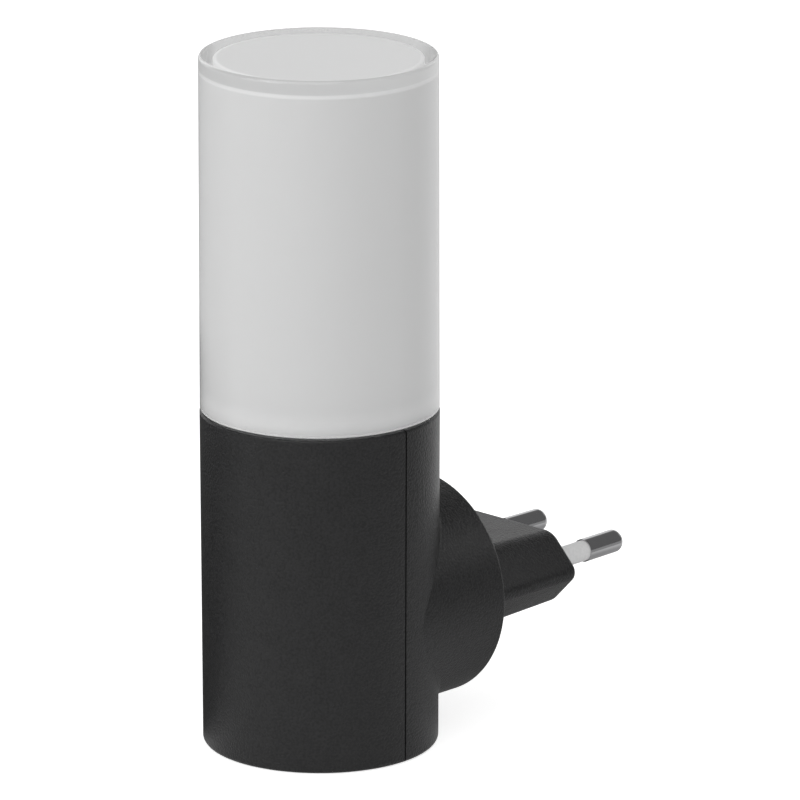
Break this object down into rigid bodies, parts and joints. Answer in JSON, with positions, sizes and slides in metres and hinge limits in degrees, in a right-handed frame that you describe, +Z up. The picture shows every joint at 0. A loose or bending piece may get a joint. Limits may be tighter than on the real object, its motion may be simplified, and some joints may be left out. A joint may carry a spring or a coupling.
{
  "type": "plug-in night light",
  "caption": "Slim cylindrical night light: clear and opal diffuser on dark half shells, a two-pin mains plug on a round boss behind, and a rocker switch in the base.",
  "frame": {"origin": "centre of the plug's engagement face, midway between the two pins", "axes": "+Z up along the body, +Y out along the pins into the wall, +X to the lamp's left as it faces the room; the front faces -Y"},
  "size_m": [0.04, 0.084, 0.118],
  "materials": {
    "clear_acrylic": "clear polished acrylic",
    "opal_acrylic": "translucent opal, satin",
    "dark_shell": "anthracite, fine spark texture",
    "plated_pin": "bright nickel plate",
    "pale_sleeve": "satin",
    "screw_steel": "zinc plated",
    "white_plastic": "moulded",
    "white_board": "white solder mask",
    "light_chip": "phosphor in a white frame",
    "green_board": "green solder mask",
    "yellow_case": "moulded box",
    "can_sleeve": "shrink sleeve",
    "copper_winding": "enamelled wire",
    "blue_coating": "dipped epoxy",
    "black_package": "moulded epoxy",
    "green_coating": "dipped cement",
    "switch_black": "satin",
    "contact_brass": "stamped strip",
    "brown_lead": "insulation",
    "blue_lead": "insulation",
    "black_lead": "insulation",
    "red_lead": "insulation"
  },
  "bodies": {
    "lamp": {"outer_cup": "clear_acrylic", "opal_cup": "opal_acrylic", "front_shell": "dark_shell", "rear_shell": "dark_shell", "case_screws": "screw_steel", "plug_block": "dark_shell", "plug_clamp": "white_plastic", "clamp_screws": "screw_steel", "live_pin": "plated_pin", "neutral_pin": "plated_pin", "live_sleeve": "pale_sleeve", "neutral_sleeve": "pale_sleeve", "light_tray": "white_plastic", "light_board": "white_board", "light_chips": "light_chip", "board_screws": "screw_steel", "driver_board": "green_board", "film_capacitor": "yellow_case", "bulk_capacitor": "can_sleeve", "output_capacitor": "can_sleeve", "inductor": "copper_winding", "varistor": "blue_coating", "bridge_rectifier": "black_package", "driver_chip": "black_package", "fuse_resistor": "green_coating", "switch_housing": "switch_black", "common_terminal": "contact_brass", "live_terminal": "contact_brass", "live_lead": "brown_lead", "neutral_lead": "blue_lead", "switched_lead": "black_lead", "light_lead_plus": "red_lead", "light_lead_minus": "black_lead"},
    "rocker": {"rocker": "switch_black", "plunger": "white_plastic", "plunger_spring": "screw_steel"},
    "contact_lever": {"contact_lever": "contact_brass"}
  },
  "joints": [
    {"name": "rocker_tilt", "type": "hinge", "parent": "lamp", "child": "rocker", "pos_m": [0, -0.045, -0.0175], "axis": [-1, 0, 0], "range_deg": [0, 18]},
    {"name": "lever_tilt", "type": "hinge", "parent": "lamp", "child": "contact_lever", "pos_m": [0, -0.045, -0.0116], "axis": [-1, 0, 0], "range_deg": [-12, 0]}
  ],
  "couplings": [
    {"joint": "lever_tilt", "follows": "rocker_tilt", "ratio": -0.6666}
  ]
}
